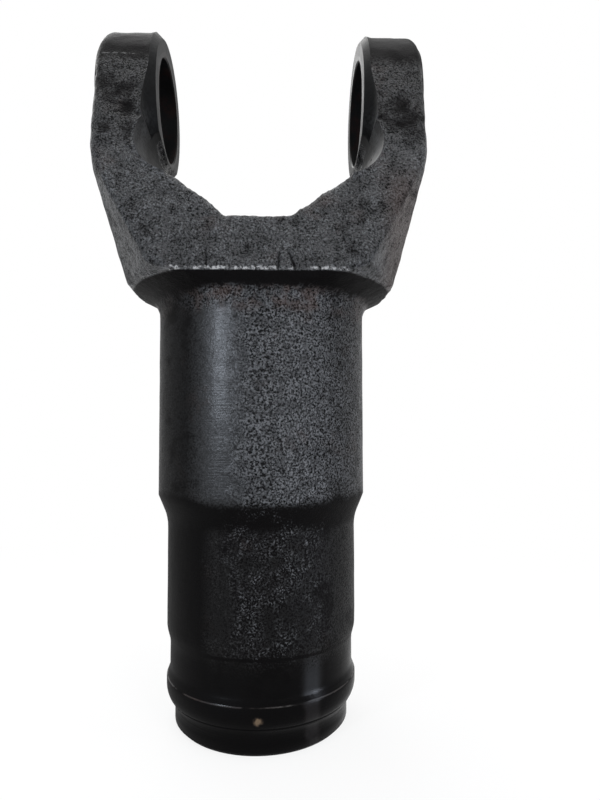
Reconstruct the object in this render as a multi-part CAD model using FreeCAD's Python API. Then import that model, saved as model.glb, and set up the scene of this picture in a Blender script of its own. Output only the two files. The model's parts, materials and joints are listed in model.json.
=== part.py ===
import FreeCAD, Part
import math
import os

# Sliding fork yoke for a heavy propeller shaft: one steel forging, machined where it fits.
# Millimetres. The sleeve stands on its open end at z = 0, its axis is +Z,
# and the two bearing bores lie along X.

# Bearing end
centre_height = 302.4      # sleeve end to the bearing axis
bore_diameter = 49.2       # bearing cap bore in each ear
across_ears = 153.6        # over the outer faces of the ears
ear_gap = 96.4             # between the two inner bearing faces
eye_radius = 35.4          # rounded top of each ear about the bearing axis
pad_radius = 32.6          # milled bearing face around each bore
pad_height = 5.2           # how far that face stands off the forged arm
skirt_hollow = 10.0        # hollow between the face's skirt and the arm
outer_face_radius = 30.5   # spot face on the outer side of each ear
outer_face_depth = 0.8
ring_groove_width = 2.7    # retaining ring groove near the outer end of each bore
ring_groove_depth = 1.6
ring_groove_inset = 3.5    # outer lip between the groove and the spot face
bore_lead = 0.6            # chamfer on both mouths of each bore

# Forged head
shoulder_drop = 102.8      # bearing axis down to the root of the shoulder
shoulder_width = 124.0     # over the flanks at the root of the shoulder
shoulder_pitch = 26.0      # rise of the shoulder's underside, in degrees
shoulder_cove = 3.0        # flat between the barrel and the underside
flank_drop = 38.0          # bearing axis down to where the flank meets the outer face
flank_flat = 40.0          # length along Y of the flank at the front face's lower edge
flank_bend = 60.0          # rounding between the flank and the outer face
head_depth = 109.0         # over the front and back faces at their lower edge
face_drop = 95.2           # bearing axis down to that lower edge
face_width = 92.0          # length of the lower edge along X
lip_lean = 24.0            # lean of the undercut lip below the edge, in degrees
ear_round = 6.5            # rounding around the outer faces of the ears
forging_round = 3.0        # worn corners of the rest of the forging

# Throat between the arms
throat_drop = 70.4         # bearing axis down to the throat's floor
throat_flat = 28.6
bench_half = 36.0          # knee on each side of the throat
bench_drop = 53.4
foot_half = 46.0           # foot of each arm's inner face
foot_drop = 47.6
arm_drop = 19.5            # bearing axis down to where that face stands upright
throat_round = 6.0
relief_radius = 17.6       # tapered clearance cut on the arms, at its measuring depth
relief_depth = 43.5        # that depth, along Y from the middle
relief_side = 38.0         # its axis, sideways from the middle
relief_drop = 32.6         # its axis, below the bearing axis
relief_taper = 8.0        # half angle in degrees

# Sleeve, from its open end upward
end_diameter = 83.8
end_chamfer = 1.8
end_length = 9.2
bead_diameter = 92.0       # raised bead that holds the boot
bead_flare = 6.1
bead_round = 18.0          # rounding between the flare and the top of the bead
bead_length = 6.8
bead_back = 4.0
neck_cove = 6.0            # hollow where the bead meets the neck
neck_diameter = 88.8
neck_length = 14.7
neck_step = 2.0
lower_diameter = 92.3
lower_length = 53.9
lower_cove = 21.0          # hollow where the lower length meets the taper
barrel_diameter = 101.6
barrel_taper = 11.4

# Bore of the sleeve
spline_teeth = 16
spline_diameter = 63.5     # over the bottoms of the grooves
spline_height = 6.0
spline_groove = 6.2
mouth_clearance = 1.3      # the plain bores stand this far outside the grooves
mouth_length = 12.0
spline_length = 165.0
plug_diameter = 72.0       # seat of a core plug, open in the throat
plug_floor_drop = 80.0     # bearing axis down to that seat
plug_seat = 7.6            # height of the seat's wall
plug_clearance = 1.5       # the throat above stands this far outside the seat
bore_chamfer = 1.5

# Working values
margin = 1.0               # tells edges near a face from edges on it
tolerance = 0.01
corner_share = 0.48        # part of a straight that one rounded corner may use

half_across = across_ears / 2
half_gap = ear_gap / 2
bore_radius = bore_diameter / 2
barrel_radius = barrel_diameter / 2
shoulder_height = centre_height - shoulder_drop
face_height = centre_height - face_drop
head_foot = shoulder_height - shoulder_cove
reach = 2 * across_ears    # longer than any cut through the head


def on_xz(u, v):
    return FreeCAD.Vector(u, 0, v)


def on_yz(u, v):
    return FreeCAD.Vector(0, u, v)


def rounded_face(corners, place):
    """Face inside a closed outline whose corners are (u, v, rounding)."""
    edges = []
    starts = []
    ends = []
    middles = []
    count = len(corners)
    for i in range(count):
        u, v, rounding = corners[i]
        here = place(u, v)
        before = place(*corners[i - 1][:2]) - here
        after = place(*corners[(i + 1) % count][:2]) - here
        turn = before.getAngle(after)
        room = corner_share * min(before.Length, after.Length)
        back = rounding / math.tan(turn / 2)
        if back > room:
            rounding = rounding * room / back
            back = room
        if rounding < tolerance:
            starts.append(here)
            ends.append(here)
            middles.append(None)
            continue
        before.normalize()
        after.normalize()
        starts.append(here + before * back)
        ends.append(here + after * back)
        inward = before + after
        inward.normalize()
        middles.append(here + inward * (rounding / math.sin(turn / 2) - rounding))
    for i in range(count):
        if middles[i] is not None:
            edges.append(Part.Arc(starts[i], middles[i], ends[i]).toShape())
        following = starts[(i + 1) % count]
        if (following - ends[i]).Length > tolerance / 100:
            edges.append(Part.LineSegment(ends[i], following).toShape())
    return Part.Face(Part.Wire(edges))


def across(face, direction):
    """Prism of the face, reaching equally far to both sides."""
    start = face.translated(direction * (-reach / 2))
    return start.extrude(direction * reach)


def turned(face):
    return face.revolve(FreeCAD.Vector(0, 0, 0), FreeCAD.Vector(0, 0, 1), 360)


def mirrored_x(shape):
    return shape.mirror(FreeCAD.Vector(0, 0, 0), FreeCAD.Vector(1, 0, 0))


def mirrored_y(shape):
    return shape.mirror(FreeCAD.Vector(0, 0, 0), FreeCAD.Vector(0, 1, 0))


def mirrored_pairs(shape):
    """The shape and its mirror images in the other three quarters."""
    pair = [shape, mirrored_x(shape)]
    return pair + [mirrored_y(each) for each in pair]


def sleeve_blank():
    z1 = end_length
    z2 = z1 + bead_flare
    z3 = z2 + bead_length
    z4 = z3 + bead_back
    z5 = z4 + neck_length
    z6 = z5 + neck_step
    z7 = z6 + lower_length
    z8 = z7 + barrel_taper
    corners = [
        (0, 0, 0),
        (end_diameter / 2 - end_chamfer, 0, 0),
        (end_diameter / 2, end_chamfer, 0),
        (end_diameter / 2, z1, 0),
        (bead_diameter / 2, z2, bead_round),
        (bead_diameter / 2, z3, 0),
        (neck_diameter / 2, z4, neck_cove),
        (neck_diameter / 2, z5, 0),
        (lower_diameter / 2, z6, 0),
        (lower_diameter / 2, z7, lower_cove),
        (barrel_radius, z8, 0),
        (barrel_radius, face_height, 0),
        (0, face_height, 0),
    ]
    return turned(rounded_face(corners, on_xz))


def flank_at(height):
    """Half width of the head's flank at a height."""
    top = centre_height - flank_drop
    foot = shoulder_width / 2
    share = (height - shoulder_height) / (top - shoulder_height)
    return foot + (half_across - foot) * share


def front_view():
    top = centre_height + eye_radius + throat_round
    foot = flank_at(head_foot)
    corners = [
        (-foot, head_foot, 0),
        (foot, head_foot, 0),
        (half_across, centre_height - flank_drop, flank_bend),
        (half_across, top, 0),
        (-half_across, top, 0),
        (-half_across, centre_height - flank_drop, flank_bend),
    ]
    return across(rounded_face(corners, on_xz), FreeCAD.Vector(0, 1, 0))


def side_view():
    """Tapered faces that run tangent into the round eye."""
    edge_half = head_depth / 2
    foot_half = edge_half - (face_height - head_foot) * math.tan(math.radians(lip_lean))
    to_centre = math.atan2(edge_half, face_drop)
    lean = to_centre - math.asin(eye_radius / math.hypot(edge_half, face_drop))
    touch_y = eye_radius * math.cos(lean)
    touch_z = centre_height + eye_radius * math.sin(lean)
    top = Part.Arc(on_yz(touch_y, touch_z), on_yz(0, centre_height + eye_radius), on_yz(-touch_y, touch_z))
    points = [
        on_yz(-touch_y, touch_z),
        on_yz(-edge_half, face_height),
        on_yz(-foot_half, head_foot),
        on_yz(foot_half, head_foot),
        on_yz(edge_half, face_height),
        on_yz(touch_y, touch_z),
    ]
    sides = [Part.LineSegment(points[i], points[i + 1]).toShape() for i in range(5)]
    face = Part.Face(Part.Wire([top.toShape()] + sides))
    return across(face, FreeCAD.Vector(1, 0, 0)), lean


def corner_facet(lean):
    """Everything outside the flat that takes off the head's front right corner."""
    top = centre_height - flank_drop
    face_y = head_depth / 2 - (top - face_height) * math.tan(lean)
    low = FreeCAD.Vector(face_width / 2, -head_depth / 2, face_height)
    high = FreeCAD.Vector(half_across, -face_y, top)
    side = FreeCAD.Vector(flank_at(face_height), -flank_flat / 2, face_height)
    normal = (side - low).cross(high - low)
    normal.normalize()
    if normal.x < 0:
        normal = -normal
    sheet = Part.makePlane(reach, reach, FreeCAD.Vector(-reach / 2, -reach / 2, 0))
    block = sheet.extrude(FreeCAD.Vector(0, 0, reach / 2))
    turn = FreeCAD.Rotation(FreeCAD.Vector(0, 0, 1), normal)
    block.Placement = FreeCAD.Placement(low, turn)
    return block


def undercut():
    """Ring that clears the shoulder's sloping underside and its cove."""
    outer = reach / 2
    slope = math.tan(math.radians(shoulder_pitch))
    corners = [
        (barrel_radius, head_foot - reach / 4, 0),
        (outer, head_foot - reach / 4, 0),
        (outer, shoulder_height + (outer - barrel_radius) * slope, 0),
        (barrel_radius + shoulder_cove, shoulder_height + shoulder_cove * slope, 0),
        (barrel_radius, head_foot, 0),
    ]
    return turned(rounded_face(corners, on_xz))


def on_outer_face(edge):
    box = edge.BoundBox
    return min(abs(box.XMin), abs(box.XMax)) > half_across - tolerance


def is_sharp_corner(edge):
    box = edge.BoundBox
    inside = max(abs(box.XMin), abs(box.XMax)) < half_across - ear_round / 4
    return inside and box.ZMax > face_height + margin and abs(box.YMin) > margin


def head_blank():
    side, lean = side_view()
    head = front_view().common(side)
    for facet in mirrored_pairs(corner_facet(lean)):
        head = head.cut(facet)
    rims = [edge for edge in head.Edges if on_outer_face(edge)]
    head = head.makeFillet(ear_round, rims)
    worn = [edge for edge in head.Edges if is_sharp_corner(edge)]
    head = head.makeFillet(forging_round, worn)
    return head.cut(undercut())


def bearing_pad():
    """Right arm inside its forged face, with the raised pad and its hollow skirt."""
    skirt_radius = pad_radius + pad_height
    back = half_across - half_gap
    corners = [
        (0, 0, 0),
        (pad_radius, 0, 0),
        (skirt_radius, pad_height, skirt_hollow),
        (2 * skirt_radius, pad_height, 0),
        (2 * skirt_radius, back, 0),
        (0, back, 0),
    ]
    pad = turned(rounded_face(corners, on_xz))
    turn = FreeCAD.Rotation(FreeCAD.Vector(0, 0, 1), FreeCAD.Vector(1, 0, 0))
    pad.Placement = FreeCAD.Placement(FreeCAD.Vector(half_gap, 0, centre_height), turn)
    return pad


def fork_gap():
    """Space between the arms, down to the throat, less the two bearing pads."""
    arm_half = half_gap + pad_height
    top = centre_height + 2 * eye_radius
    corners = [
        (-throat_flat / 2, centre_height - throat_drop, throat_round),
        (throat_flat / 2, centre_height - throat_drop, throat_round),
        (bench_half, centre_height - bench_drop, throat_round),
        (foot_half, centre_height - foot_drop, throat_round),
        (arm_half, centre_height - arm_drop, throat_round),
        (arm_half, top, 0),
        (-arm_half, top, 0),
        (-arm_half, centre_height - arm_drop, throat_round),
        (-foot_half, centre_height - foot_drop, throat_round),
        (-bench_half, centre_height - bench_drop, throat_round),
    ]
    gap = across(rounded_face(corners, on_xz), FreeCAD.Vector(0, 1, 0))
    pad = bearing_pad()
    return gap.cut(pad).cut(mirrored_x(pad))


def relief_cut():
    """Tapered cutter path at the front of the right arm."""
    slope = math.tan(math.radians(relief_taper))
    outer = head_depth
    wide = relief_radius + (outer - relief_depth) * slope
    narrow = relief_radius - relief_depth * slope
    cone = Part.makeCone(narrow, wide, outer)
    turn = FreeCAD.Rotation(FreeCAD.Vector(0, 0, 1), FreeCAD.Vector(0, -1, 0))
    place = FreeCAD.Vector(relief_side, 0, centre_height - relief_drop)
    cone.Placement = FreeCAD.Placement(place, turn)
    return cone


def bearing_bores():
    """One turned profile for both bores: bore, ring grooves, mouths and spot faces."""
    face = half_across - outer_face_depth
    groove_out = face - ring_groove_inset
    groove_in = groove_out - ring_groove_width
    groove_radius = bore_radius + ring_groove_depth
    corners = [
        (0, 0, 0),
        (0, half_across + pad_height, 0),
        (outer_face_radius, half_across + pad_height, 0),
        (outer_face_radius, face, 0),
        (bore_radius + bore_lead, face, 0),
        (bore_radius, face - bore_lead, 0),
        (bore_radius, groove_out, 0),
        (groove_radius, groove_out, 0),
        (groove_radius, groove_in, 0),
        (bore_radius, groove_in, 0),
        (bore_radius, half_gap + bore_lead, 0),
        (bore_radius + bore_lead, half_gap, 0),
        (bore_radius + bore_lead, 0, 0),
    ]
    half = turned(rounded_face(corners, on_xz))
    turn = FreeCAD.Rotation(FreeCAD.Vector(0, 0, 1), FreeCAD.Vector(1, 0, 0))
    half.Placement = FreeCAD.Placement(FreeCAD.Vector(0, 0, centre_height), turn)
    return [half, mirrored_x(half)]


def sleeve_bore():
    """Plain mouth, splined length, cleared length and plug seat in one turned cut."""
    minor = spline_diameter / 2 - spline_height
    plain = spline_diameter / 2 + mouth_clearance
    spline_end = mouth_length + spline_length
    seat = plug_diameter / 2
    seat_floor = centre_height - plug_floor_drop
    seat_top = seat_floor + plug_seat
    corners = [
        (0, -bore_chamfer, 0),
        (plain + 2 * bore_chamfer, -bore_chamfer, 0),
        (plain, bore_chamfer, 0),
        (plain, mouth_length, 0),
        (minor, mouth_length + plain - minor, 0),
        (minor, spline_end, 0),
        (plain, spline_end + plain - minor, 0),
        (plain, seat_floor, 0),
        (seat, seat_floor, 0),
        (seat, seat_top, 0),
        (seat + plug_clearance, seat_top + plug_clearance, 0),
        (seat + plug_clearance, centre_height, 0),
        (0, centre_height, 0),
    ]
    return turned(rounded_face(corners, on_xz))


def spline_grooves():
    """Straight sided grooves between the internal teeth, round at the bottom."""
    root = Part.makeCylinder(spline_diameter / 2, spline_length + 2 * spline_height)
    root.translate(FreeCAD.Vector(0, 0, mouth_length))
    width = spline_groove
    slots = []
    for i in range(spline_teeth):
        slot = Part.makeBox(spline_diameter, width, spline_length + 2 * spline_height)
        slot.translate(FreeCAD.Vector(0, -width / 2, mouth_length))
        slot.rotate(FreeCAD.Vector(0, 0, 0), FreeCAD.Vector(0, 0, 1), 360.0 * i / spline_teeth)
        slots.append(slot)
    return slots[0].fuse(slots[1:]).common(root)


def yoke():
    body = head_blank().fuse(sleeve_blank()).removeSplitter()
    body = body.cut(fork_gap())
    for relief in mirrored_pairs(relief_cut()):
        body = body.cut(relief)
    for bore in bearing_bores():
        body = body.cut(bore)
    body = body.cut(sleeve_bore())
    body = body.cut(spline_grooves())
    return body.removeSplitter()


os.makedirs("parts", exist_ok=True)
solid = yoke().Solids[0]
print("yoke: valid", solid.isValid(), "volume", round(solid.Volume / 1000, 1), "cm3")
solid.exportStep("parts/yoke.step")
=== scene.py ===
import json
import math

import bmesh
import bpy
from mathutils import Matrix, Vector, noise


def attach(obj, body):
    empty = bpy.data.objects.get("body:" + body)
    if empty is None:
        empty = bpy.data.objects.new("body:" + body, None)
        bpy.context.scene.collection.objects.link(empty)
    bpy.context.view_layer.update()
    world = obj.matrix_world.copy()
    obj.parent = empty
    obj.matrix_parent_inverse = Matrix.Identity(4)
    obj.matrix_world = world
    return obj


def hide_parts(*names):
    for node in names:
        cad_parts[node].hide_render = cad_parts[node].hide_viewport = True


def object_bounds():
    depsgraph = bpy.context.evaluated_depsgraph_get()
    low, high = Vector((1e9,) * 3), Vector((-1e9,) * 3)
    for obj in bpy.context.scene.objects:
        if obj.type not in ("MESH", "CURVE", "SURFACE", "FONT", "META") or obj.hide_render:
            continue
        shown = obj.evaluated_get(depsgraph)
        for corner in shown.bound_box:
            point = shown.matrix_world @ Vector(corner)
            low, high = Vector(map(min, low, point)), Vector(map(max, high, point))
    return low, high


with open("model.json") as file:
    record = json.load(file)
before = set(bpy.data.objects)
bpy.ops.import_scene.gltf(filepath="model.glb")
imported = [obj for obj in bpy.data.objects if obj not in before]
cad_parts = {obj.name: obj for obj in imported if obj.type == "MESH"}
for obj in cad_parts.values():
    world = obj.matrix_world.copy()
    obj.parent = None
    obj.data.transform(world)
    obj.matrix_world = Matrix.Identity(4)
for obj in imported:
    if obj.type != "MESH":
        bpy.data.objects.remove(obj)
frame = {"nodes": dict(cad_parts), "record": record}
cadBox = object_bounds()
mounts = {mount["name"]: mount for mount in frame["record"]["mounts"]}
yokeNode = frame["nodes"]["yoke"]
print("frame loaded:", len(yokeNode.data.polygons), "faces")

mm = 0.001
boreHeight = mounts["bearing_bores"]["pos_m"][2]              # bearing axis above the floor
boreRadius = mounts["bearing_bores"]["dims"]["r_mm"] * mm

# The yoke. Lengths are in metres, angles in degrees, and the places are the frame's own.
forging = {
    "headEdge": 2.95 * mm,            # mesh size of the head's skin
    "sleeveEdge": 4.9 * mm,            # and of the sleeve's, which is turned
    "boreCoarser": 3.0,                # the bore's mesh is this many times larger
    "fineEdge": 0.8 * mm,              # mesh size where nicks are cut
    "divideTurns": 9,
    "fineTurns": 3,
    "doubles": 0.002 * mm,             # the frame's points nearer than this are one
    "sliver": 0.001 * mm,
    "merge": 0.15 * mm,                # refined points nearer than this become one
    "capHeight": 0.08 * mm,            # flatter triangles than this are turned
    "capShare": 0.94,                  # if their second side is shorter than this share of the longest
    "capTurns": 3,
    "flatAngle": 4.0,                  # flatter edges than this may be turned
    "foldAngle": 112.0,                # no real edge of the forging is as sharp as this
    "unfoldTurns": 4,
    "headFoot": 196.6 * mm,            # lowest point of the head
    "sleeveInside": 40.0 * mm,         # any outer face of the sleeve lies outside this
    "throatFloor": 232.0 * mm,
    "halfGap": 48.2 * mm,              # inner bearing face from the middle
    "armInside": 53.4 * mm,            # inner forged face of an arm
    "padRadius": 32.6 * mm,
    "spotRadius": 30.5 * mm,           # spot face on the outer side of an ear
    "spotFace": 76.0 * mm,
    "eyeFrom": 7.5 * mm,               # an ear is round from here up, above the bearing axis
    "reliefSide": 38.0 * mm,           # axis of the tapered clearance cut
    "reliefHeight": boreHeight - 32.6 * mm,
    "reliefDepth": 43.5 * mm,
    "reliefRadius": 17.6 * mm,
    "reliefTaper": 8.0,
    "reliefFrom": 18.0 * mm,           # the cut lies outside this on Y
    "headSwell": 0.34 * mm,            # slow waves in the head's skin
    "headLump": 0.50 * mm,             # lumps a few millimetres wide
    "sleeveSwell": 0.16 * mm,
    "sleeveLump": 0.10 * mm,
    "turnedSwell": 0.25,               # share of them that the turned end keeps
    "turnedLump": 0.15,
    "ripple": 0.5,                     # the smallest lumps, as a share of the others
    "headFade": (192.6 * mm, 202.6 * mm),
    "turnedFade": (32.0 * mm, 44.0 * mm),
    "swellWave": (17.0 * mm, 3.1),     # size and seed
    "lumpWave": (6.5 * mm, 11.7),
    "rippleWave": (3.4 * mm, 23.9),
    "dentWave": (4.5 * mm, 31.3),
    "dentUneven": (0.4, 1.1),          # least depth of a dent, and what the wave adds
    "dentFront": -25.0 * mm,           # dents lie in front of this on Y
    "nickFront": -38.0 * mm,
    "facingFront": -0.3,
    "rimHalf": 46.0 * mm,
    "rimHeights": (229.0 * mm, 262.0 * mm),
    "rimFade": (-36.0 * mm, -48.0 * mm),
    "rimFacing": (0.1, 0.5),
    "wornAngle": 28.0,                 # sharper forged edges than this are worn round
    "wornFrom": 36.0 * mm,
    "edgeRounds": 2,
    "hardAngle": 32.0,                 # sharper machined edges than this stay hard
}

# How far the middle of a mesh face may lie off the face of the drawing that it belongs to.
slack = {
    "ear": 0.1 * mm,
    "turned": 0.3 * mm,
    "curved": 0.16 * mm,
    "gap": 0.3 * mm,
    "spot": 0.05 * mm,
    "bore": 2.0 * mm,                  # leads and retaining ring grooves
    "flat": 0.2 * mm,
    "pad": 1.0 * mm,
    "arm": 0.1 * mm,
    "cone": 0.2 * mm,
    "sideways": 0.15,                  # least lean of the pad's skirt along X
    "downward": -0.25,                 # or along Z
}

# Lines that the turning tool left round the sleeve's end: height, width, depth.
turnedRings = [
    (22.9 * mm, 1.0 * mm, 0.20 * mm),
    (12.8 * mm, 1.3 * mm, 0.30 * mm),
]
ringReach = 4.0 * mm                   # mesh this near to a line is cut for it
ringMerge = 0.01 * mm
ringCatch = 0.1                        # share of a line's width that takes its points

# Proud or low spots along the throat's front rim: place on X, half width, height.
rimSpots = [
    (-35.0 * mm, 3.0 * mm, 0.5 * mm),
    (-24.0 * mm, 5.0 * mm, 0.8 * mm),
    (-15.5 * mm, 2.0 * mm, -0.5 * mm),
    (2.0 * mm, 6.0 * mm, -0.3 * mm),
    (16.8 * mm, 2.6 * mm, 1.0 * mm),
    (27.0 * mm, 2.5 * mm, 0.5 * mm),
    (35.0 * mm, 4.0 * mm, -0.6 * mm),
]

# Thin nicks in the front face: two ends on X and Z, half width, depth.
faceNicks = [
    ((8.1 * mm, 207.0 * mm), (8.7 * mm, 213.6 * mm), 0.60 * mm, 0.80 * mm),
    ((15.6 * mm, 207.0 * mm), (12.8 * mm, 214.6 * mm), 0.58 * mm, 0.75 * mm),
    ((-21.9 * mm, 207.0 * mm), (-22.3 * mm, 216.0 * mm), 0.50 * mm, 0.50 * mm),
]

# Shallow dents in the arms' front faces: X, Z, half width, depth.
armDents = [
    (-60.0 * mm, 283.5 * mm, 3.8 * mm, 0.60 * mm),
    (-63.5 * mm, 292.0 * mm, 3.2 * mm, 0.42 * mm),
    (-69.0 * mm, 288.0 * mm, 3.0 * mm, 0.36 * mm),
    (-57.5 * mm, 270.0 * mm, 3.4 * mm, 0.45 * mm),
    (64.0 * mm, 288.0 * mm, 3.8 * mm, 0.48 * mm),
    (69.0 * mm, 280.0 * mm, 3.2 * mm, 0.40 * mm),
    (62.5 * mm, 277.0 * mm, 3.0 * mm, 0.40 * mm),
]


def smoothStep(low, high, value):
    share = min(max((value - low) / (high - low), 0.0), 1.0)
    return share * share * (3.0 - 2.0 * share)


def mixed(share, first, second):
    return first + (second - first) * share


def fromSleeveAxis(place):
    return math.hypot(place.x, place.y)


def fromBearingAxis(place):
    return math.hypot(place.y, place.z - boreHeight)


def reliefGap(place):                                         # distance from the tapered cut's cone
    slope = math.tan(math.radians(forging["reliefTaper"]))
    radius = forging["reliefRadius"] + (abs(place.y) - forging["reliefDepth"]) * slope
    away = math.hypot(abs(place.x) - forging["reliefSide"], place.z - forging["reliefHeight"])
    return away - radius


def isOnRelief(place, allowed):
    return abs(reliefGap(place)) < allowed and abs(place.y) > forging["reliefFrom"]


def isTurnedAboutBearing(place):
    away = fromBearingAxis(place)
    insideEar = abs(place.x) > forging["halfGap"] - slack["ear"]
    eyeTop = place.z > boreHeight + forging["eyeFrom"] and away > forging["padRadius"]
    return insideEar and (away < forging["spotRadius"] + slack["turned"] or eyeTop)


def isInsideSleeve(place):
    return place.z < forging["throatFloor"] and fromSleeveAxis(place) < forging["sleeveInside"]


def followTurnedFaces(verts, sleeveLayer, bearingLayer):      # new points go onto the true cylinders
    for vert in verts:
        place = vert.co
        if place.z < forging["headFoot"]:
            away = fromSleeveAxis(place)
            if away > forging["sleeveInside"]:
                grow = vert[sleeveLayer] / away
                place.x *= grow
                place.y *= grow
        elif isTurnedAboutBearing(place):
            grow = vert[bearingLayer] / fromBearingAxis(place)
            place.y *= grow
            place.z = boreHeight + (place.z - boreHeight) * grow
        elif isOnRelief(place, slack["curved"]):
            side = math.copysign(forging["reliefSide"], place.x)
            centre = Vector((side, place.y, forging["reliefHeight"]))
            arm = place - centre
            vert.co = centre + arm * ((arm.length - reliefGap(place)) / arm.length)


def lineGap(place, start, end):                               # distance from a nick, seen from the front
    along = Vector((end[0] - start[0], end[1] - start[1]))
    back = Vector((place.x - start[0], place.z - start[1]))
    share = min(max(back.dot(along) / along.length_squared, 0.0), 1.0)
    return (back - along * share).length


def nearNick(place):                                          # where the mesh has to be finer
    if place.y > forging["nickFront"]:
        return False
    return any(lineGap(place, start, end) < 3 * width for start, end, width, depth in faceNicks)


def triangulate(mesh):
    bmesh.ops.triangulate(mesh, faces=[face for face in mesh.faces if len(face.verts) > 3])


def soften(mesh, verts):
    bmesh.ops.smooth_vert(mesh, verts=verts, factor=0.5, use_axis_x=True, use_axis_y=True, use_axis_z=True)


def isSharper(edge, angle):
    return len(edge.link_faces) == 2 and edge.calc_face_angle() > math.radians(angle)


def isForged(vert):                                           # no milled or bored face touches it
    return all(face.material_index == 0 for face in vert.link_faces)


def turnCaps(mesh):                                           # a flat triangle gives its long edge to its neighbour
    for turn in range(forging["capTurns"]):
        taken = set()
        turning = []
        for face in mesh.faces:
            sides = sorted(face.edges, key=lambda edge: edge.calc_length())
            longest = sides[-1].calc_length()
            isCap = sides[-2].calc_length() < forging["capShare"] * longest
            isCap = isCap and 2 * face.calc_area() < forging["capHeight"] * longest
            pair = sides[-1].link_faces
            if isCap and len(pair) == 2 and not any(each in taken for each in pair):
                turning.append(sides[-1])
                taken.update(pair)
        if not turning:
            break
        bmesh.ops.rotate_edges(mesh, edges=turning, use_ccw=False)


def divide(mesh, wanted, sleeveLayer, bearingLayer):
    edges = [edge for edge in mesh.edges if wanted(edge)]
    if not edges:
        return False
    made = bmesh.ops.subdivide_edges(mesh, edges=edges, cuts=1)["geom_split"]
    triangulate(mesh)
    verts = [each for each in made if isinstance(each, bmesh.types.BMVert)]
    followTurnedFaces(verts, sleeveLayer, bearingLayer)
    turnCaps(mesh)
    return True


def cutRings(mesh):                                           # loops of points for the turned lines
    for height, width, depth in turnedRings:
        for level in (height - width / 2, height, height + width / 2):
            faces = [face for face in mesh.faces
                     if any(abs(vert.co.z - level) < ringReach for vert in face.verts)]
            edges = {edge for face in faces for edge in face.edges}
            verts = {vert for face in faces for vert in face.verts}
            bmesh.ops.bisect_plane(mesh, geom=[*verts, *edges, *faces], dist=ringMerge,
                                   plane_co=(0, 0, level), plane_no=(0, 0, 1))
    triangulate(mesh)


def evenOut(mesh):                                            # turns edges so that no thin triangles stay
    limit = math.radians(forging["flatAngle"])
    flat = [edge for edge in mesh.edges if len(edge.link_faces) == 2 and edge.calc_face_angle() < limit]
    bmesh.ops.beautify_fill(mesh, faces=mesh.faces[:], edges=flat, method="ANGLE")


def refine(mesh):
    sleeveLayer = mesh.verts.layers.float.new("awayFromSleeveAxis")
    bearingLayer = mesh.verts.layers.float.new("awayFromBearingAxis")
    for vert in mesh.verts:
        vert[sleeveLayer] = fromSleeveAxis(vert.co)
        vert[bearingLayer] = fromBearingAxis(vert.co)

    def tooLong(edge):
        middle = (edge.verts[0].co + edge.verts[1].co) / 2
        limit = forging["headEdge"] if middle.z > forging["headFoot"] else forging["sleeveEdge"]
        if isInsideSleeve(middle):
            limit *= forging["boreCoarser"]
        return edge.calc_length() > limit

    def tooCoarse(edge):
        middle = (edge.verts[0].co + edge.verts[1].co) / 2
        return edge.calc_length() > forging["fineEdge"] and nearNick(middle)

    turnCaps(mesh)
    for turn in range(forging["divideTurns"]):
        if not divide(mesh, tooLong, sleeveLayer, bearingLayer):
            break
    evenOut(mesh)
    for turn in range(forging["fineTurns"]):
        divide(mesh, tooCoarse, sleeveLayer, bearingLayer)
    bmesh.ops.remove_doubles(mesh, verts=mesh.verts, dist=forging["merge"])
    turnCaps(mesh)
    cutRings(mesh)
    turnCaps(mesh)
    bmesh.ops.recalc_face_normals(mesh, faces=mesh.faces)
    for name in ("awayFromSleeveAxis", "awayFromBearingAxis"):
        mesh.verts.layers.float.remove(mesh.verts.layers.float[name])


def finishOf(face):                                           # 0 forged or turned, 1 milled, 2 bored
    place = face.calc_center_median()
    side = abs(place.x)
    away = fromBearingAxis(place)
    if isInsideSleeve(place):
        return 2
    if side > forging["halfGap"] - slack["gap"] and place.z > forging["throatFloor"]:
        isBoreOrSpot = away < boreRadius + slack["bore"] or side > forging["spotFace"] - slack["flat"]
        if away < forging["spotRadius"] + slack["spot"] and isBoreOrSpot:
            return 2
        isPad = abs(side - forging["halfGap"]) < slack["flat"] and away < forging["padRadius"] + slack["pad"]
        leans = abs(face.normal.x) > slack["sideways"] or face.normal.z < slack["downward"]
        isOffArm = away > forging["padRadius"] - slack["pad"] and side < forging["armInside"] + slack["arm"]
        if isPad or (isOffArm and leans):
            return 1
    return 1 if isOnRelief(place, slack["cone"]) else 0


def skinWave(place, size, seed):                              # 0 to 1
    return 0.5 + 0.5 * noise.noise(place / size + Vector((seed, seed * 0.7, -seed)))


def cavity(place):                                            # how far the skin lies back from the die's form
    isHead = smoothStep(*forging["headFade"], place.z)
    isForgedSkin = smoothStep(*forging["turnedFade"], place.z)
    swell = mixed(isHead, forging["sleeveSwell"], forging["headSwell"])
    lump = mixed(isHead, forging["sleeveLump"], forging["headLump"])
    swell *= mixed(isForgedSkin, forging["turnedSwell"], 1.0)
    lump *= mixed(isForgedSkin, forging["turnedLump"], 1.0)
    deep = swell * skinWave(place, *forging["swellWave"])
    deep += lump * skinWave(place, *forging["lumpWave"])
    deep += forging["ripple"] * lump * skinWave(place, *forging["rippleWave"])
    return deep


def handMarks(place, normal):                                 # dents and nicks of this yoke's front
    deep = 0.0
    if place.y > forging["dentFront"] or normal.y > forging["facingFront"]:
        return deep
    least, more = forging["dentUneven"]
    uneven = least + more * skinWave(place, *forging["dentWave"])
    for x, z, width, depth in armDents:
        deep += uneven * depth * math.exp(-((place.x - x) ** 2 + (place.z - z) ** 2) / width ** 2)
    if place.y < forging["nickFront"]:
        for start, end, width, depth in faceNicks:
            deep += depth * math.exp(-(lineGap(place, start, end) / width) ** 2)
    return deep


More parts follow.
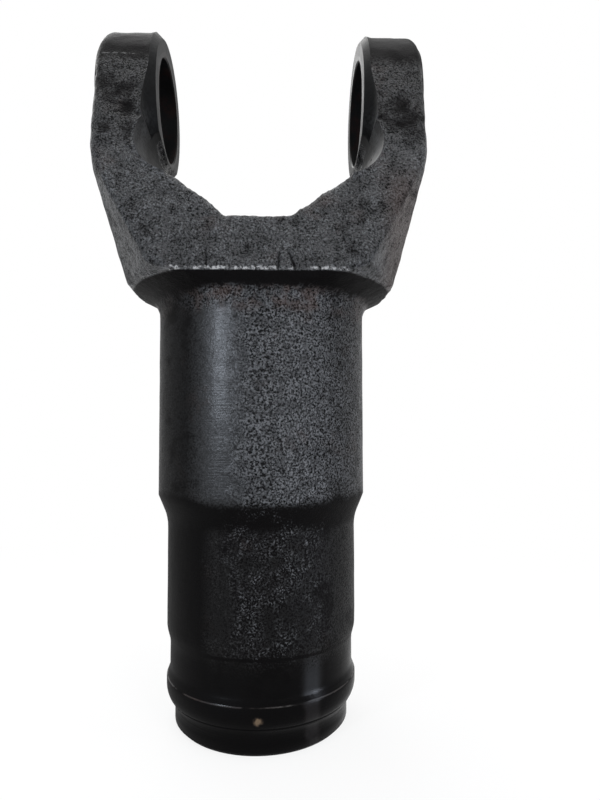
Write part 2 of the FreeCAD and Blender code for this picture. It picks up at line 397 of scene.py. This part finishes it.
def rimRise(place, normal):
    low, high = forging["rimHeights"]
    if abs(place.x) > forging["rimHalf"] or place.z < low or place.z > high:
        return 0.0
    near = smoothStep(*forging["rimFade"], place.y) * smoothStep(*forging["rimFacing"], normal.z)
    return near * sum(height * math.exp(-((place.x - x) / width) ** 2) for x, width, height in rimSpots)


def outward(vert):                                            # large faces count for more, so slivers can't tilt it
    lean = Vector((0, 0, 0))
    for face in vert.link_faces:
        lean += face.normal * face.calc_area()
    return lean.normalized() if lean.length > 0 else vert.normal.copy()


def insideBox(place):                                         # the forging never grows past its drawing
    return Vector([min(max(value, low), high) for value, low, high in zip(place, *cadBox)])


def wearEdges(mesh, forged):
    worn = [vert for vert in forged
            if any(isSharper(edge, forging["wornAngle"]) for edge in vert.link_edges)]
    around = set(worn)
    for vert in worn:
        around.update(edge.other_vert(vert) for edge in vert.link_edges)
    around = [vert for vert in around if vert.co.z > forging["wornFrom"] and isForged(vert)]
    for turn in range(forging["edgeRounds"]):
        soften(mesh, around)


def pressSkin(mesh, forged, hollowLayer):                     # lumps, dents, nicks, rim and turned lines
    mesh.normal_update()
    lean = {vert: (vert.co.copy(), outward(vert)) for vert in forged}
    for vert in forged:
        place, normal = lean[vert]
        depth = cavity(place) + handMarks(place, normal)
        vert[hollowLayer] = depth / mm
        vert.co = insideBox(place - normal * depth + Vector((0, 0, rimRise(place, normal))))
    for vert in forged:
        for height, width, depth in turnedRings:
            if abs(vert.co.z - height) < ringCatch * width:
                vert.co -= lean[vert][1] * depth


def unfold(mesh):                                             # a thin triangle that wear turned over lies flat again
    for turn in range(forging["unfoldTurns"]):
        mesh.normal_update()
        folded = [edge for edge in mesh.edges if isSharper(edge, forging["foldAngle"])]
        verts = {vert for edge in folded for face in edge.link_faces for vert in face.verts}
        loose = [vert for vert in verts if isForged(vert)]
        if not loose:
            break
        soften(mesh, loose)


def buildYoke():
    mesh = bmesh.new()
    mesh.from_mesh(yokeNode.data)
    bmesh.ops.remove_doubles(mesh, verts=mesh.verts, dist=forging["doubles"])
    bmesh.ops.dissolve_degenerate(mesh, edges=mesh.edges, dist=forging["sliver"])
    refine(mesh)
    hollowLayer = mesh.verts.layers.float.new("hollow")
    print("yoke refined:", len(mesh.faces), "faces")
    mesh.normal_update()
    for face in mesh.faces:
        face.material_index = finishOf(face)
        face.smooth = True
    forged = [vert for vert in mesh.verts if isForged(vert)]
    wearEdges(mesh, forged)
    pressSkin(mesh, forged, hollowLayer)
    unfold(mesh)
    for edge in mesh.edges:
        isMachined = {face.material_index for face in edge.link_faces} != {0}
        edge.smooth = not (isMachined and isSharper(edge, forging["hardAngle"]))
    print("skin pressed:", len(forged), "points")
    data = bpy.data.meshes.new("forgedYoke")
    mesh.to_mesh(data)
    mesh.free()
    yoke = bpy.data.objects.new("forgedYoke", data)
    bpy.context.scene.collection.objects.link(yoke)
    return yoke


class Wire:                                                   # a socket that Python can do sums with
    def __init__(self, board, socket):
        self.board = board
        self.socket = socket

    def math(self, operation, first, second=None):
        values = {0: first} if second is None else {0: first, 1: second}
        return self.board.node("ShaderNodeMath", {"operation": operation}, values)

    def __add__(self, other):
        return self.math("ADD", self, other)

    def __radd__(self, other):
        return self.math("ADD", other, self)

    def __sub__(self, other):
        return self.math("SUBTRACT", self, other)

    def __rsub__(self, other):
        return self.math("SUBTRACT", other, self)

    def __mul__(self, other):
        return self.math("MULTIPLY", self, other)

    def __rmul__(self, other):
        return self.math("MULTIPLY", other, self)

    def larger(self, other):
        return self.math("MAXIMUM", self, other)

    def absolute(self):
        return self.math("ABSOLUTE", self)

    def step(self, low, high):                                # 0 below low, 1 above high, smooth between
        values = {"Value": self, "From Min": low, "From Max": high}
        settings = {"interpolation_type": "SMOOTHSTEP", "clamp": True}
        return self.board.node("ShaderNodeMapRange", settings, values)

    def fall(self, low, high):                                # 1 below low, 0 above high
        return 1 - self.step(low, high)

    def band(self, middle, half, soft):                       # 1 within half of the middle
        return (self - middle).absolute().fall(half, half + soft)


class Board:                                                  # the node tree of a material or the world
    def __init__(self, owner):
        owner.use_nodes = True
        self.owner = owner
        self.tree = owner.node_tree
        self.tree.nodes.clear()

    def node(self, kind, settings=None, values=None, output=0):
        made = self.tree.nodes.new(kind)
        for name, value in (settings or {}).items():
            setattr(made, name, value)
        for name, value in (values or {}).items():
            if isinstance(value, Wire):
                self.tree.links.new(value.socket, made.inputs[name])
            else:
                made.inputs[name].default_value = value
        return Wire(self, made.outputs[output])

    def place(self):
        return self.node("ShaderNodeTexCoord", output="Object")

    def stretched(self, scale):
        return self.node("ShaderNodeMapping", {}, {"Vector": self.place(), "Scale": scale})

    def noise(self, size, detail=2.0, roughness=0.5, place=None, distortion=0.0):    # size is one lump in mm
        values = {"Vector": place or self.place(), "Scale": 1000.0 / size, "Detail": detail,
                  "Roughness": roughness, "Distortion": distortion}
        return self.node("ShaderNodeTexNoise", {}, values, "Fac")

    def axes(self):
        split = self.node("ShaderNodeSeparateXYZ", {}, {"Vector": self.place()})
        outputs = split.socket.node.outputs
        return [Wire(self, outputs[i]) for i in range(3)]

    def blend(self, share, first, second):                    # two colours
        settings = {"data_type": "RGBA", "clamp_factor": True}
        return self.node("ShaderNodeMix", settings, {0: share, 6: first, 7: second}, 2)

    def bump(self, height, distance, strength):
        values = {"Height": height, "Distance": distance, "Strength": strength}
        return self.node("ShaderNodeBump", {}, values, "Normal")

    def shader(self, colour, roughness, normal, specular):
        values = {"Base Color": colour, "Roughness": roughness, "Normal": normal, "Specular IOR Level": specular}
        return self.node("ShaderNodeBsdfPrincipled", {}, values)

    def mixShader(self, share, first, second):
        return self.node("ShaderNodeMixShader", {}, {0: share, 1: first, 2: second})

    def seen(self):                                           # by the camera, in a gloss or through glass
        rays = self.node("ShaderNodeLightPath").socket.node.outputs
        names = ("Is Camera Ray", "Is Glossy Ray", "Is Transmission Ray")
        camera, glossy, through = [Wire(self, rays[name]) for name in names]
        return camera.larger(glossy.larger(through))

    def close(self, shader, output="ShaderNodeOutputMaterial"):
        made = self.tree.nodes.new(output)
        self.tree.links.new(shader.socket, made.inputs["Surface"])
        return self.owner


def newMaterial(name):
    return Board(bpy.data.materials.new(name))


def grey(level, tint=0.0):                                    # a positive tint leans to blue, a negative to brown
    return (level * (1 - tint), level * (1 - 0.3 * abs(tint)), level * (1 + tint), 1.0)


# Tones, gloss and grain of the forged and turned skin.
skinLook = {
    "face": grey(0.020, 0.05),
    "barrel": grey(0.015, 0.08),
    # the ears and the sleeve below the taper are darker, the neck and end darkest: painted shade
    "ear": grey(0.009, 0.04),
    "lower": grey(0.007, 0.03),
    "neck": grey(0.0035),
    "peaks": grey(0.105, 0.05),
    "worn": grey(0.34),
    # painted highlight lines along the bead's top edge and across the left crown
    "ring": grey(0.105, 0.02),
    # painted highlight down the right of the neck
    "highlightStrip": grey(0.05, 0.14),
    "rust": (0.034, 0.014, 0.008, 1.0),
    "chip": (0.11, 0.075, 0.045, 1.0),
    "chipAt": (-0.4 * mm, -45.5 * mm, 17.0 * mm),
    "chipEdge": (0.5 * mm, 2.6 * mm),
    "grain": 0.85,                     # size in millimetres
    "grainHeight": 0.34 * mm,
    "grainStrength": 0.9,
    "roughness": 0.33,
    "specular": 0.20,
    # the dark layer, laid for real soot and for painted shade
    "sootAndShade": (0.0022, 0.0020, 0.0021, 1.0),
    "sootAndShadeRoughness": 0.52,
    "sootAndShadeSheen": -0.26,                # added on the right of the neck, where it is wet with oil
    "sootAndShadeSpecular": 0.03,
    "ringShare": 0.12,
    "highlightStripShare": 0.30,
}

# Where one finish fades into the next, in metres.
zonesUp = {                            # along Z
    "head": (197.6 * mm, 203.6 * mm),
    "barrel": (104.0 * mm, 109.0 * mm),
    "aboveNeck": (30.0 * mm, 50.0 * mm),
    "aboveEnd": (20.0 * mm, 25.0 * mm),
    "ear": (258.0 * mm, 284.0 * mm),
    "crown": (305.0 * mm, 316.0 * mm),
    "polishTop": (190.0 * mm, 196.0 * mm),
    # lipFrom and lipTo bound the band under the lip that is painted darker, as painted shade
    "lipFrom": (198.0 * mm, 203.5 * mm),
    "lipTo": (205.8 * mm, 206.8 * mm),
    "flankFrom": (198.0 * mm, 205.0 * mm),
    "flankTo": (240.0 * mm, 262.0 * mm),
    "wornFrom": (206.3 * mm, 206.9 * mm),
}
zonesAcross = {                        # along X
    # the barrel's left and right sides are darkened: painted shade
    "leftSide": (-34.0 * mm, -19.0 * mm),
    "rightSide": (16.0 * mm, 38.0 * mm),
    "rightFlank": (50.0 * mm, 62.0 * mm),
    "polish": (-15.0 * mm, -2.0 * mm),
    "wetNeck": (-6.0 * mm, 8.0 * mm),
    "wornHalf": (36.0 * mm, 43.0 * mm),
    "crownLine": (-60.0 * mm, -56.0 * mm),
}
zonesDeep = {                          # along Y
    "front": (-46.0 * mm, -40.0 * mm),
    "frontHalf": (-26.0 * mm, 8.0 * mm),
    "highlightStrip": (-10.0 * mm, 0.0),
}

# Narrow bands: middle, half width, soft edge.
skinBands = {
    "highlightStrip": (23.0 * mm, 1.5 * mm, 5.0 * mm),                 # the painted highlight strip, along X; the rest along Z
    "patch": (1.0 * mm, 8.0 * mm, 30.0 * mm),                 # along X too
    "shoulderRust": (197.0 * mm, 4.0 * mm, 5.0 * mm),
    "beadLight": (22.6 * mm, 0.05 * mm, 0.3 * mm),
    "crownLight": (312.0 * mm, 0.1 * mm, 0.5 * mm),
    # dark lines beside the turned steps: painted shade
    "beadDark": (23.8 * mm, 0.5 * mm, 0.8 * mm),
    "endDark": (12.6 * mm, 0.5 * mm, 0.8 * mm),
    "neckDark": (41.8 * mm, 0.3 * mm, 0.9 * mm),
    "taperFoot": (103.0 * mm, 3.0 * mm, 6.0 * mm),
}
wornEdge = {"height": 207.2 * mm, "ragged": 3.6 * mm, "fade": (-0.2 * mm, 0.9 * mm)}

# How much each finish takes away from the bare peaks, the pores and the bump's height.
spared = {
    "peaks": {"neck": 1.0, "crown": 0.8, "polished": 0.85, "ear": 0.5, "unpatched": 1.0},
    "pores": {"crown": 0.6, "polished": 0.7, "neck": 1.0},
    "height": {"neck": 0.88, "crown": 0.7, "lower": 0.2, "polished": 0.80},
}

# How much of the dark layer each place takes: real soot and oil in the pores and blotches, less on the lower
# barrel's flakes; painted shade under the lip, down the barrel's sides, in hollows, dents and nicks, on the ears and
# crowns, towards the sleeve's bottom and beside the turned steps; a darker band round the taper's foot; less on the
# strip, for a painted highlight.
sootAndShadeShares = {
    "underLip": 1.2,
    "pores": 0.70,
    "barrelPores": 0.25,
    "hollows": 0.42,
    "marks": 0.40,
    "blotches": 0.30,
    "leftSide": 0.85,
    "rightSide": 0.50,
    "lower": 0.72,
    "lowerPeaks": -0.80,
    "neck": 0.30,
    "highlightStrip": -0.55,
    "end": 0.30,
    "crown": 0.78,
    "ear": 0.33,
    "beadDark": 1.0,
    "endDark": 1.0,
    "neckDark": 0.4,
    "taperFoot": 0.5,
}


def less(shares, masks):                                      # 1 where none of the masks is
    left = 1
    for name, share in shares.items():
        left = left * (1 - share * masks[name])
    return left


def forgedSkin():
    board = newMaterial("forgedSkin")
    x, y, z = board.axes()
    grain = board.noise(skinLook["grain"], 3.0, 0.6, distortion=0.25)
    fine = board.noise(0.7, 3.0, 0.6)
    speck = board.noise(1.8, 3.0, 0.7)
    lumps = board.noise(3.8, 3.0, 0.55)
    blotch = board.noise(14.0, 4.0, 0.6)
    wobble = board.noise(6.0) - 0.5
    lines = board.noise(0.6, place=board.stretched((0.03, 0.03, 1.0)))
    depth = board.node("ShaderNodeAttribute", {"attribute_name": "hollow"}, {}, "Fac")       # in millimetres
    ragged = depth + 1.2 * (lumps - 0.5)
    hollow = ragged.step(0.48, 0.76)

    isHead = z.step(*zonesUp["head"])
    isLow = z.fall(*zonesUp["barrel"])
    isNeck = z.fall(*zonesUp["aboveNeck"])
    isEnd = z.fall(*zonesUp["aboveEnd"])
    isEar = z.step(*zonesUp["ear"])
    isCrown = z.step(*zonesUp["crown"])
    isBarrel = (1 - isHead) * (1 - isLow)
    frontHalf = y.fall(*zonesDeep["frontHalf"])
    polished = (x + 16 * mm * wobble).fall(*zonesAcross["polish"]) * z.fall(*zonesUp["polishTop"]) * frontHalf
    # painted highlight: a lighter, bluish strip down the right of the neck, where the dark layer thins
    highlightStrip = (x + 2 * mm * wobble).band(*skinBands["highlightStrip"]) * isNeck * y.fall(*zonesDeep["highlightStrip"])
    patch = isLow * (1 - isNeck) * (x + 30 * mm * wobble).band(*skinBands["patch"]) * blotch.step(0.36, 0.60)
    masks = {"neck": isNeck, "crown": isCrown, "ear": isEar, "lower": isLow, "polished": polished,
             "unpatched": isLow * (1 - 0.9 * patch)}

    tone = board.blend(isHead, skinLook["barrel"], skinLook["face"])
    # darker tones on the ears and towards the sleeve's bottom: painted shade
    for name in ("ear", "lower", "neck"):
        tone = board.blend(masks[name], tone, skinLook[name])
    # the bright peaks fade in the hollows: painted shade
    peaks = grain.step(0.47, 0.68 - 0.07 * isBarrel) * (0.35 + 0.65 * lumps.step(0.34, 0.60)) * (1 - 0.55 * hollow)
    tone = board.blend(peaks * less(spared["peaks"], masks), tone, skinLook["peaks"])

    rightFlank = x.step(*zonesAcross["rightFlank"]) * z.step(*zonesUp["flankFrom"]) * z.fall(*zonesUp["flankTo"])
    shoulderRust = z.band(*skinBands["shoulderRust"]) * board.noise(10.0, 3.0, 0.6).step(0.42, 0.60)
    rusty = 0.3 * board.noise(21.0, 4.0, 0.62).step(0.56, 0.74)
    rusty = rusty + 0.5 * shoulderRust + 0.45 * rightFlank + 0.3 * isEnd
    tone = board.blend(rusty, tone, skinLook["rust"])

    aboveEdge = z - wornEdge["height"] - wornEdge["ragged"] * (speck - 0.42)
    worn = aboveEdge.fall(*wornEdge["fade"]) * z.step(*zonesUp["wornFrom"]) * y.fall(*zonesDeep["front"])
    worn = worn * speck.step(0.36, 0.52) * x.absolute().fall(*zonesAcross["wornHalf"])
    worn = worn * (0.12 + 0.88 * board.noise(2.6, 3.0, 0.65).step(0.42, 0.58))
    tone = board.blend(worn, tone, skinLook["worn"])

    # painted highlights: a thin light line along the bead's top edge and a faint one across the left crown, kept
    # clear of the dark layer
    beadLight = z.band(*skinBands["beadLight"]) * board.noise(9.0).step(0.35, 0.6)
    crownLight = (z + 1.5 * mm * wobble).band(*skinBands["crownLight"]) * speck.step(0.4, 0.6)
    ringLight = beadLight + 0.8 * crownLight * x.fall(*zonesAcross["crownLine"])
    tone = board.blend(skinLook["ringShare"] * ringLight, tone, skinLook["ring"])
    tone = board.blend(skinLook["highlightStripShare"] * highlightStrip, tone, skinLook["highlightStrip"])

    fromChip = {0: board.place(), 1: skinLook["chipAt"]}
    away = board.node("ShaderNodeVectorMath", {"operation": "DISTANCE"}, fromChip, "Value")
    chip = (away + 3.0 * mm * (board.noise(1.8) - 0.5)).fall(*skinLook["chipEdge"])
    tone = board.blend(chip, tone, skinLook["chip"])

    rough = skinLook["roughness"] + 0.20 * (fine - 0.5) + 0.15 * (blotch - 0.5) + 0.06 * isCrown - 0.06 * polished
    height = less(spared["height"], masks) * (1.4 * grain + 0.5 * fine + 1.5 * lumps) + 0.22 * lines * (1 - isHead)
    normal = board.bump(height, skinLook["grainHeight"], skinLook["grainStrength"])

    pores = grain.fall(0.38, 0.49) * less(spared["pores"], masks)
    places = {
        # painted shade under the lip
        "underLip": z.step(*zonesUp["lipFrom"]) * z.fall(*zonesUp["lipTo"]),
        "pores": pores,
        "barrelPores": isBarrel * pores,
        # painted shade in the skin's hollows, dents and nicks
        "hollows": hollow,
        "marks": ragged.step(0.82, 1.10),
        "blotches": blotch.step(0.50, 0.72),
        # painted shade down the barrel's left and right sides
        "leftSide": x.fall(*zonesAcross["leftSide"]) * (1 - isHead) * (0.25 + 0.75 * frontHalf),
        "rightSide": x.step(*zonesAcross["rightSide"]) * (0.5 + 0.5 * frontHalf) * isBarrel * (1 - isHead),
        # painted shade, darker towards the sleeve's bottom
        "lower": isLow,
        "lowerPeaks": isLow * patch * peaks,
        "neck": isNeck,
        "highlightStrip": highlightStrip,
        "end": isEnd,
        # painted shade on the ears and their crowns
        "crown": isCrown,
        "ear": isEar,
    }
    # painted shade lines beside the turned steps, and a darker band round the taper's foot
    for name in ("beadDark", "endDark", "neckDark", "taperFoot"):
        places[name] = z.band(*skinBands[name])
    # share of the dark layer: real soot in the pores and blotches, painted shade in the other places, less on the
    # painted highlight strip
    cover = sum(share * places[name] for name, share in sootAndShadeShares.items())

    sootAndShadeRoughness = skinLook["sootAndShadeRoughness"] + skinLook["sootAndShadeSheen"] * isNeck * x.step(*zonesAcross["wetNeck"])
    skin = board.shader(tone, rough, normal, skinLook["specular"])
    sootAndShade = board.shader(skinLook["sootAndShade"], sootAndShadeRoughness, normal, skinLook["sootAndShadeSpecular"])
    share = cover.step(0.0, 1.15) * (1 - worn) * (1 - chip) * (1 - 0.8 * ringLight.step(0.0, 0.6))
    return board.close(board.mixShader(share, skin, sootAndShade))


# The pads, their skirts and the clearance cuts. The cuts' lower front is lighter, painted light, and every milled
# face behind the front is darker, painted shade.
milledLook = {
    "tone": grey(0.007, 0.03),
    "lens": grey(0.028, 0.02),
    "dirtAndRearShade": grey(0.004, 0.02),
    "lensTop": (282.0 * mm, 290.0 * mm),
    "lensFront": (-34.0 * mm, -20.0 * mm),
    "roughness": 0.45,
    "specular": 0.06,
    "toolHeight": 0.10 * mm,
    "toolStrength": 0.8,
}


def milledSteel():
    board = newMaterial("milledSteel")
    y, z = board.axes()[1:]
    streaks = board.noise(0.9, 3.0, 0.6, board.stretched((1.0, 0.14, 1.0)))
    cover = board.noise(9.0, 3.0, 0.55)
    grain = board.noise(1.3, 3.0, 0.6)
    front = y.fall(*milledLook["lensFront"])
    # painted light: the cuts' lower front is lighter
    base = board.blend(z.fall(*milledLook["lensTop"]) * front, milledLook["tone"], milledLook["lens"])
    # dirt from the noises, and painted shade on the milled faces behind the front
    dirtAndRearShade = 0.5 * cover.step(0.38, 0.66) + 0.6 * grain.fall(0.36, 0.56) + 0.6 * (1 - front)
    tone = board.blend(dirtAndRearShade, base, milledLook["dirtAndRearShade"])
    rough = milledLook["roughness"] + 0.2 * (cover - 0.5) + 0.12 * (streaks - 0.5)
    normal = board.bump(streaks + 0.9 * grain, milledLook["toolHeight"], milledLook["toolStrength"])
    return board.close(board.shader(tone, rough, normal, milledLook["specular"]))


# The bearing bores, the spot faces and the inside of the sleeve.
boredLook = {
    "tone": grey(0.0035, 0.02),
    "rust": (0.0085, 0.0040, 0.0035, 1.0),
    "lines": 260.0,
    "lineHeight": 0.015 * mm,
    "lineStrength": 0.5,
    "roughness": 0.40,
    "specular": 0.05,
}


def boredSteel():
    board = newMaterial("boredSteel")
    wave = {"Vector": board.place(), "Scale": boredLook["lines"], "Distortion": 0.6, "Detail": 2.0}
    lines = board.node("ShaderNodeTexWave", {"bands_direction": "X"}, wave, "Fac")
    cover = board.noise(8.0, 3.0, 0.6)
    tone = board.blend(0.7 * cover.step(0.45, 0.65), boredLook["tone"], boredLook["rust"])
    rough = boredLook["roughness"] + 0.15 * (cover - 0.5)
    normal = board.bump(lines, boredLook["lineHeight"], boredLook["lineStrength"])
    return board.close(board.shader(tone, rough, normal, boredLook["specular"]))


stageLook = {
    "floor": (0.90, 0.90, 0.90, 1.0),
    "size": 6.0,
    "corners": 96,
    "white": (1.0, 1.0, 1.0, 1.0),
    "world": 0.22,                     # strength that lights the object
    "nearWhite": 0.86,                 # share of plain white under the object, so that its shadow shows
    "whiteEdge": (0.10, 0.50),
}


def buildStage():
    mesh = bmesh.new()
    bmesh.ops.create_circle(mesh, cap_ends=True, segments=stageLook["corners"], radius=stageLook["size"])
    data = bpy.data.meshes.new("floor")
    mesh.to_mesh(data)
    mesh.free()
    floor = bpy.data.objects.new("floor", data)
    bpy.context.scene.collection.objects.link(floor)
    board = newMaterial("paleFloor")
    away = board.node("ShaderNodeVectorMath", {"operation": "LENGTH"}, {0: board.place()}, "Value")
    far = stageLook["nearWhite"] + (1 - stageLook["nearWhite"]) * away.step(*stageLook["whiteEdge"])
    white = board.node("ShaderNodeEmission", {}, {"Color": stageLook["white"], "Strength": 1.0})
    matt = board.node("ShaderNodeBsdfDiffuse", {}, {"Color": stageLook["floor"]})
    data.materials.append(board.close(board.mixShader(board.seen() * far, matt, white)))

    world = bpy.data.worlds.new("studio")
    bpy.context.scene.world = world
    board = Board(world)
    strength = stageLook["world"] + (1 - stageLook["world"]) * board.seen()
    light = board.node("ShaderNodeBackground", {}, {"Color": stageLook["white"], "Strength": strength})
    board.close(light, "ShaderNodeOutputWorld")


# Each lamp: place, target, size, watts and tint.
lampLook = {
    "keyLeft": ((-0.80, -0.88, 0.34), (-0.016, -0.045, 0.17), (0.13, 0.20), 6.0, (0.80, 0.88, 1.0)),
    "lowRight": ((0.55, -0.26, 0.06), (0.02, -0.04, 0.03), (0.06, 0.16), 1.6, (0.80, 0.86, 1.0)),
    "frontRight": ((0.75, -1.20, 0.95), (0.0, 0.0, 0.20), (0.7, 0.7), 9.0, (1.0, 1.0, 1.0)),
    "backFill": ((-0.50, 0.95, 1.25), (0.0, 0.0, 0.18), (0.9, 0.7), 8.0, (1.0, 1.0, 1.0)),
    "overhead": ((-0.1, 0.1, 1.9), (0.0, 0.0, 0.0), (1.6, 1.6), 28.0, (1.0, 1.0, 1.0)),
}


def buildLamps():
    for name, (place, target, size, power, tint) in lampLook.items():
        data = bpy.data.lights.new(name, "AREA")
        data.shape = "RECTANGLE"
        data.size, data.size_y = size
        data.energy = power
        data.color = tint
        lamp = bpy.data.objects.new(name, data)
        bpy.context.scene.collection.objects.link(lamp)
        lamp.location = place
        lamp.rotation_euler = (Vector(place) - Vector(target)).to_track_quat("Z", "Y").to_euler()


cameraLook = {
    "at": (0.00892, -0.29733, 0.14051),
    "pitch": 2.62,
    "yaw": 1.98,
    "roll": 0.08,
    "focal": 585.75,                   # in pixels of a picture this tall
    "tall": 800,
    "sensor": 36.0,
    "nearest": 0.01,
}


def buildCamera():
    data = bpy.data.cameras.new("camera")
    data.sensor_width = cameraLook["sensor"]
    data.lens = cameraLook["focal"] * data.sensor_width / cameraLook["tall"]
    data.clip_start = cameraLook["nearest"]
    camera = bpy.data.objects.new("camera", data)
    bpy.context.scene.collection.objects.link(camera)
    camera.location = cameraLook["at"]
    turns = (90 + cameraLook["pitch"], cameraLook["roll"], -cameraLook["yaw"])
    camera.rotation_euler = [math.radians(turn) for turn in turns]
    bpy.context.scene.camera = camera


yoke = buildYoke()
for material in (forgedSkin(), milledSteel(), boredSteel()):
    yoke.data.materials.append(material)
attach(yoke, "root")
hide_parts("yoke")
print("yoke dressed:", len(yoke.data.polygons), "faces")

buildStage()
buildLamps()
buildCamera()
bpy.context.scene.view_settings.view_transform = "Standard"
print("stage, lamps and camera set")
